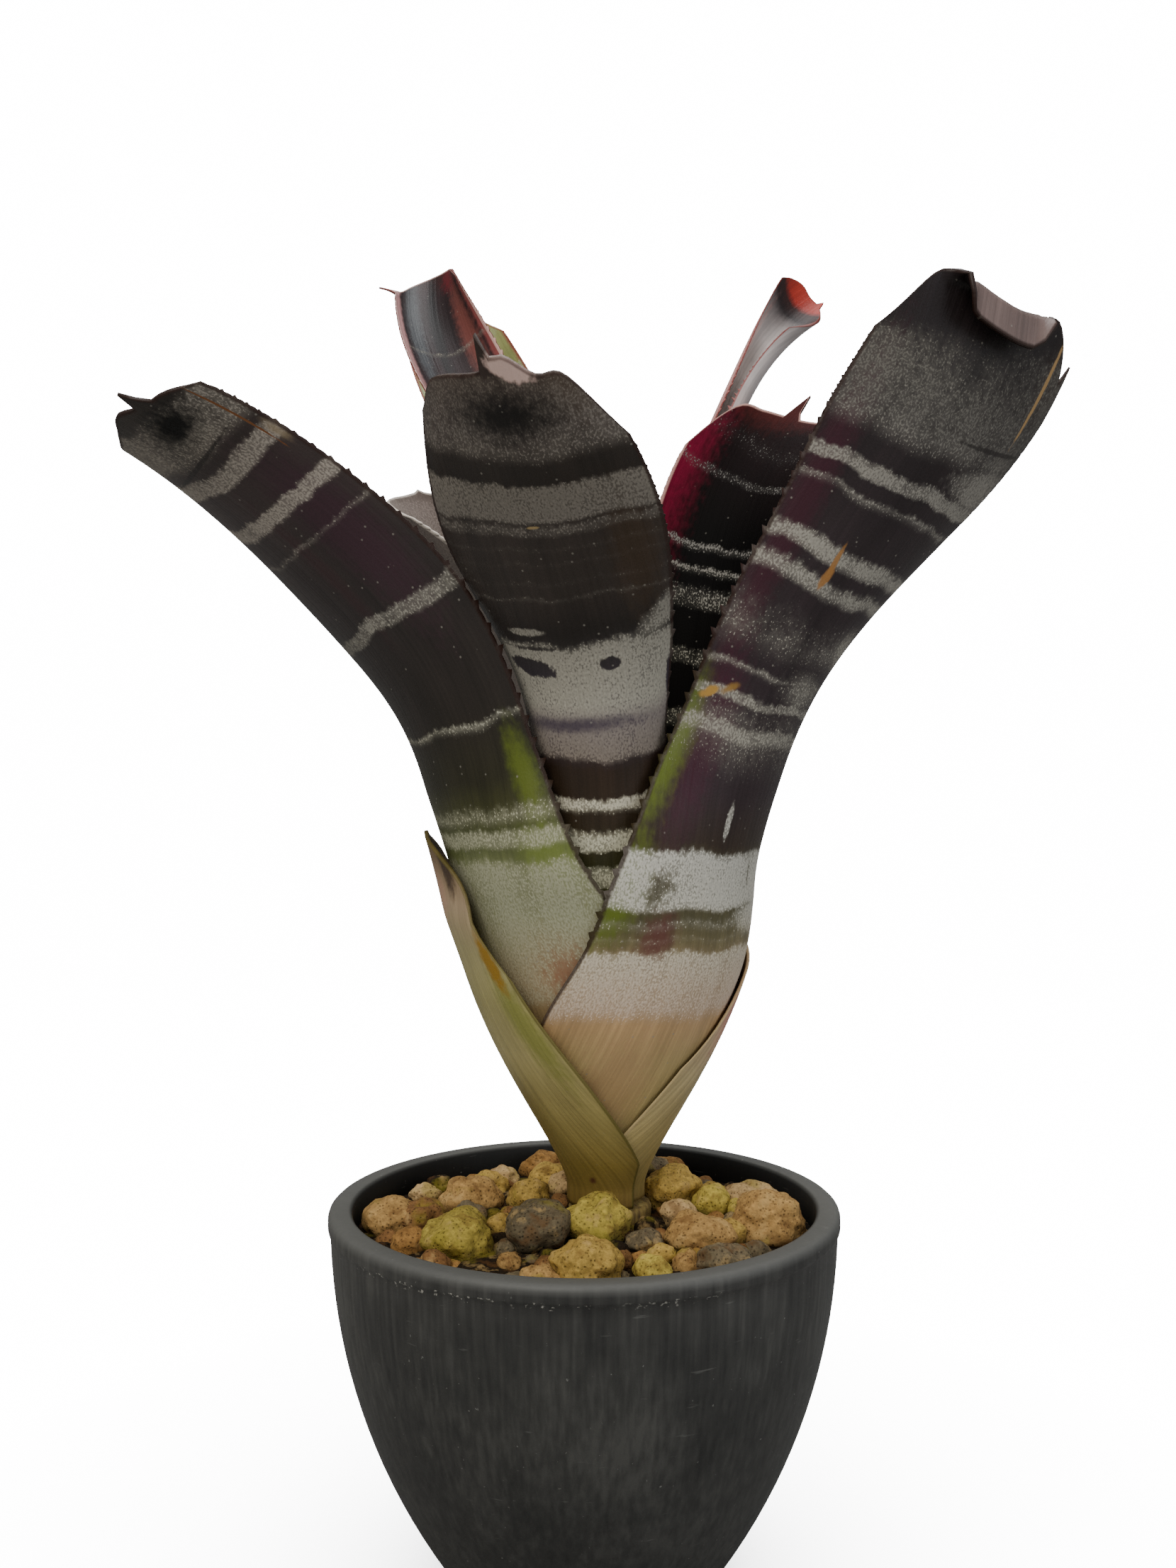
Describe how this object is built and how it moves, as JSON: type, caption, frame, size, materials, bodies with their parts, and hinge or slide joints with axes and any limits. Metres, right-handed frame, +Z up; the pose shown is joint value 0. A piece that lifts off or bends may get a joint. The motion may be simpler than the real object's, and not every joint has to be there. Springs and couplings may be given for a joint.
{
  "type": "potted bromeliad",
  "caption": "Tank bromeliad with stiff, channelled, spiny-edged leaves, banded silver on dark plum, growing from pumice gravel in a dark round bowl-shaped pot.",
  "frame": {"origin": "centre of the pot's flat foot, on the pot's axis", "axes": "+Z up along the axis of the pot, -Y towards the side with the foremost leaf, +X to the right seen from there"},
  "size_m": [0.2088, 0.2044, 0.3507],
  "materials": {
    "pot": "dull, finely scuffed",
    "gravel": "rough, porous",
    "stock": "dry, fibrous",
    "dry_sheath": "dry, satin",
    "dark_leaf": "waxy with silver scurf",
    "red_leaf": "waxy with silver scurf",
    "pale_leaf": "waxy"
  },
  "bodies": {
    "root": {"pot": "pot", "pumice_gravel": "gravel", "stock": "stock", "sheath_left_old": "dry_sheath", "sheath_right_old": "dry_sheath", "leaf_right": "dark_leaf", "leaf_left": "dark_leaf", "leaf_front": "dark_leaf", "leaf_right_inner": "red_leaf", "leaf_left_inner": "dark_leaf", "leaf_back_left_tall": "red_leaf", "leaf_back_left_pale": "pale_leaf", "leaf_back_right_rolled": "red_leaf"}
  },
  "joints": []
}
